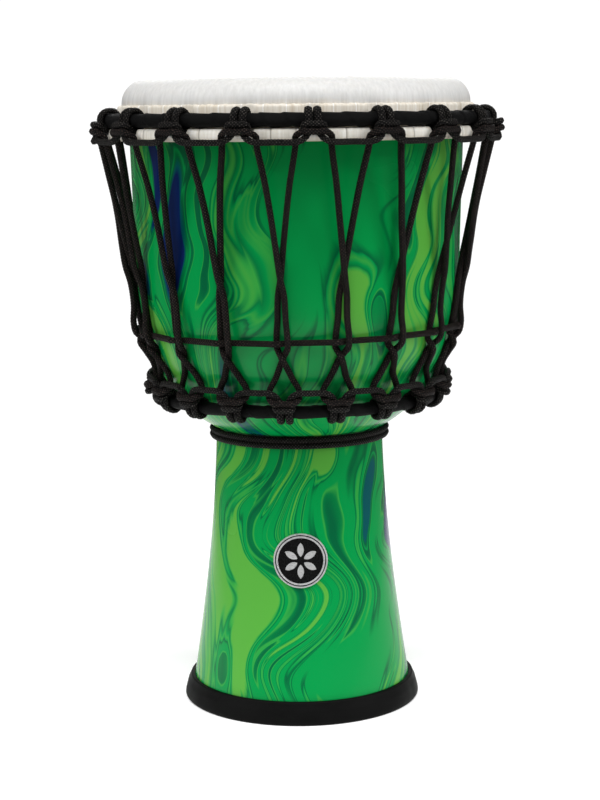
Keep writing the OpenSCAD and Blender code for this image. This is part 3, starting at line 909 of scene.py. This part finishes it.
def make_knots():
    """One knot on each closed rope but the lacing, whose ends are not shown."""
    back = FIRST_HITCH + PITCH * (LOOPS // 2)
    barrel_knot("crown_knot", "crown_loop_knot", "head", back + PITCH / 2, CROWN_R + 7.1, CROWN_Z - 10.05,
                ROPE_R + 0.2, LOOP_ROPE)
    barrel_knot("lower_knot", "lower_loop_knot", "drum", back, LOWER_R + 11.7, LOWER_Z + 10.05, 0.2,
                LOOP_ROPE)
    barrel_knot("woven_row_knot", "weave_knot", "drum", back, strand_r(WEAVE_Z) + 5.9, WEAVE_Z - 0.2, 0.2,
                TENSION_ROPE)
    barrel_knot("neck_turn_knot", "neck_knot", "drum", back - PITCH / 2, NECK_ROPE_R - ROPE_R + 4.2,
                NECK_ROPE_LOW + ROPE_R + 1.5, 0.2, LOOP_ROPE)


def make_ropes():
    braided_rope("crown_loops", loop_route(CROWN), LOOP_ROPE, ["crown_loop_rope"], "head")
    braided_rope("lower_loops", loop_route(LOWER), LOOP_ROPE, ["lower_loop_rope"], "drum")
    tension = braided_rope("tension_lacing", tension_route(), TENSION_ROPE,
                           ["tension_rope"], None)
    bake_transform(tension)
    braided_rope("woven_row", weave_route(), TENSION_ROPE, ["weave_rope"], "drum")
    braided_rope("neck_turns", neck_route(), LOOP_ROPE, ["neck_rope"], "drum")


def dress_cad_nodes():
    """Materials for the CAD pieces that stay as they are."""
    metal_nodes = ("badge_plate", "badge_rim", "badge_emblem", "flesh_hoop", "crown_ring_core",
                   "lower_ring_core")
    for node, material in [(name, METAL) for name in metal_nodes] + [("badge_face", ENAMEL)]:
        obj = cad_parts[node]
        if not obj.data.materials:
            obj.data.materials.append(material)
        for i in range(len(obj.data.materials)):
            obj.data.materials[i] = material


make_shell()
make_head()
make_tab_band()
make_skirt()
make_foot()
make_wrapped_ring("crown_cloth", "head", "crown_ring_wrap", CROWN_R, CROWN_Z, CROWN_BAR, 46)
make_wrapped_ring("lower_cloth", "drum", "lower_ring_wrap", LOWER_R, LOWER_Z, LOWER_BAR, 34)
make_ropes()
make_knots()
dress_cad_nodes()


# ---------------------------------------------------------------- floor and light

def make_floor():
    """A round white table top that glows a little, as under an overexposed studio light."""
    steps, radius = 96, 0.55
    mesh = bpy.data.meshes.new("floor")
    turns = [2 * math.pi * i / steps for i in range(steps)]
    rim = [(radius * math.sin(a), -radius * math.cos(a), 0) for a in turns]
    mesh.from_pydata(rim, [], [tuple(range(steps))])
    floor = bpy.data.objects.new("floor", mesh)
    bpy.context.scene.collection.objects.link(floor)
    net = Net("floor_paper", Roughness=0.9, Specular_IOR_Level=0.1, Emission_Strength=0.28)
    net.shader.inputs["Emission Color"].default_value = (1, 1, 1, 1)
    net.colour(net.mix(net.noise(net.place(), 3, 2), (0.85, 0.85, 0.85), (0.87, 0.87, 0.87)))
    mesh.materials.append(net.material)


LIGHTS_AIM = (0, 0, 0.18)       # metres, the middle of the drum
ROOM_STRENGTH, BACKDROP_STRENGTH = 0.16, 1.05


def area_light(name, place, size, power):
    data = bpy.data.lights.new(name, "AREA")
    data.shape = "RECTANGLE"
    data.size, data.size_y = size
    data.energy = power
    light = bpy.data.objects.new(name, data)
    light.location = place
    light.rotation_euler = (Vector(LIGHTS_AIM) - Vector(place)).to_track_quat("-Z", "Y").to_euler()
    bpy.context.scene.collection.objects.link(light)


def make_world():
    """White behind the object, and a dimmer even light on it."""
    world = bpy.data.worlds.new("studio")
    bpy.context.scene.world = world
    world.use_nodes = True
    tree = world.node_tree
    sky = tree.nodes["Background"]
    sky.inputs["Color"].default_value = (1, 1, 1, 1)
    path = tree.nodes.new("ShaderNodeLightPath")
    share = tree.nodes.new("ShaderNodeMapRange")
    tree.links.new(path.outputs["Is Camera Ray"], share.inputs["Value"])
    share.inputs["To Min"].default_value = ROOM_STRENGTH
    share.inputs["To Max"].default_value = BACKDROP_STRENGTH
    tree.links.new(share.outputs[0], sky.inputs["Strength"])


def soft_sun(name, aim_from, strength, angle):
    data = bpy.data.lights.new(name, "SUN")
    data.energy = strength
    data.angle = math.radians(angle)
    light = bpy.data.objects.new(name, data)
    light.rotation_euler = Vector(aim_from).to_track_quat("Z", "Y").to_euler()
    bpy.context.scene.collection.objects.link(light)


def make_light():
    make_world()
    soft_sun("overhead", (0, -0.55, 1), 2.15, 36)
    area_light("left", (-1.35, -0.6, 1.0), (0.6, 0.9), 13)
    area_light("right", (1.35, -0.55, 1.0), (0.6, 0.9), 14)
    area_light("behind", (0.0, 1.5, 1.1), (1.2, 0.6), 9)
    bpy.context.scene.view_settings.view_transform = "Standard"


make_floor()
make_light()
